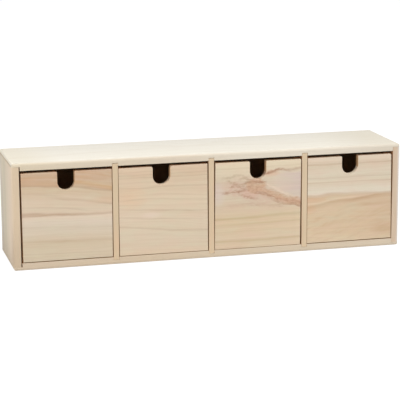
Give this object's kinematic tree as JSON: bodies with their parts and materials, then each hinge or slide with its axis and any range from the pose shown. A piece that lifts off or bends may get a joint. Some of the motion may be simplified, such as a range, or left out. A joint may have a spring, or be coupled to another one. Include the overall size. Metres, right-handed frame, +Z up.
{
  "type": "desktop mini drawers",
  "caption": "Low unfinished wooden desktop chest: a row of small square drawers, each with a U-shaped finger notch, in a thin-walled case.",
  "frame": {"origin": "middle of the underside of the case", "axes": "+X runs along the row to the right as seen from the front, -Y is the front where the drawers pull out, +Z is up"},
  "size_m": [0.43, 0.09, 0.115],
  "materials": {
    "case_wood": "sanded, unfinished",
    "drawer_front_wood": "sanded, unfinished",
    "drawer_box_wood": "sanded, unfinished",
    "thin_ply": "thin plywood, unfinished",
    "pin_steel": "bright drawn steel pins"
  },
  "bodies": {
    "case": {"top_board": "case_wood", "bottom_board": "case_wood", "left_side": "case_wood", "right_side": "case_wood", "left_divider": "case_wood", "middle_divider": "case_wood", "right_divider": "case_wood", "back_panel": "thin_ply", "bottom_pins": "pin_steel", "back_pins": "pin_steel"},
    "drawer_1": {"drawer_1_front": "drawer_front_wood", "drawer_1_left_wall": "drawer_box_wood", "drawer_1_right_wall": "drawer_box_wood", "drawer_1_back": "drawer_box_wood", "drawer_1_floor": "thin_ply", "drawer_1_pins": "pin_steel"},
    "drawer_2": {"drawer_2_front": "drawer_front_wood", "drawer_2_left_wall": "drawer_box_wood", "drawer_2_right_wall": "drawer_box_wood", "drawer_2_back": "drawer_box_wood", "drawer_2_floor": "thin_ply", "drawer_2_pins": "pin_steel"},
    "drawer_3": {"drawer_3_front": "drawer_front_wood", "drawer_3_left_wall": "drawer_box_wood", "drawer_3_right_wall": "drawer_box_wood", "drawer_3_back": "drawer_box_wood", "drawer_3_floor": "thin_ply", "drawer_3_pins": "pin_steel"},
    "drawer_4": {"drawer_4_front": "drawer_front_wood", "drawer_4_left_wall": "drawer_box_wood", "drawer_4_right_wall": "drawer_box_wood", "drawer_4_back": "drawer_box_wood", "drawer_4_floor": "thin_ply", "drawer_4_pins": "pin_steel"}
  },
  "joints": [
    {"name": "drawer_1_slide", "type": "slide", "parent": "case", "child": "drawer_1", "axis": [0, -1, 0], "range_m": [0, 0.086]},
    {"name": "drawer_2_slide", "type": "slide", "parent": "case", "child": "drawer_2", "axis": [0, -1, 0], "range_m": [0, 0.086]},
    {"name": "drawer_3_slide", "type": "slide", "parent": "case", "child": "drawer_3", "axis": [0, -1, 0], "range_m": [0, 0.086]},
    {"name": "drawer_4_slide", "type": "slide", "parent": "case", "child": "drawer_4", "axis": [0, -1, 0], "range_m": [0, 0.086]}
  ]
}
